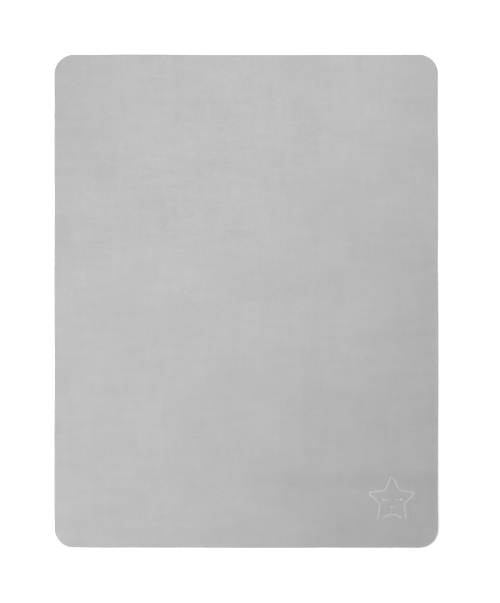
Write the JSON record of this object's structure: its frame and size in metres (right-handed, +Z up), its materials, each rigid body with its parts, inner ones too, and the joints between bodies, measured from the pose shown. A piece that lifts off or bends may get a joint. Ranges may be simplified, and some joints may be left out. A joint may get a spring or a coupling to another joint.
{
  "type": "fleece blanket",
  "caption": "Flat two-ply fleece blanket with round corners and an outlined star embroidered in one corner; it folds in half across its width.",
  "frame": {"origin": "floor level under the middle of the blanket, laid flat with its face up", "axes": "+X across the width towards the side with the star, +Y up the length away from the star's end, +Z up out of the face"},
  "size_m": [0.7, 0.9, 0.0062],
  "materials": {
    "fleece": "matte",
    "embroidery_thread": "satin",
    "sewing_thread": "matte",
    "backing": "matte",
    "label_tape": "satin"
  },
  "bodies": {
    "lower_half": {"front_ply_lower": "fleece", "back_ply_lower": "fleece", "joining_seam_lower": "sewing_thread", "star_line_left": "embroidery_thread", "star_line_right": "embroidery_thread", "star_line_base": "embroidery_thread", "left_eye": "embroidery_thread", "right_eye": "embroidery_thread", "mouth": "embroidery_thread", "embroidery_backing": "backing", "bobbin_thread": "sewing_thread"},
    "upper_half": {"front_ply_upper": "fleece", "back_ply_upper": "fleece", "joining_seam_upper": "sewing_thread", "closing_stitches": "sewing_thread", "care_label": "label_tape", "label_stitches": "sewing_thread"}
  },
  "joints": [
    {"name": "fold", "type": "hinge", "parent": "lower_half", "child": "upper_half", "pos_m": [0, 0, 0.0078], "axis": [1, 0, 0], "range_deg": [0, 180]}
  ]
}
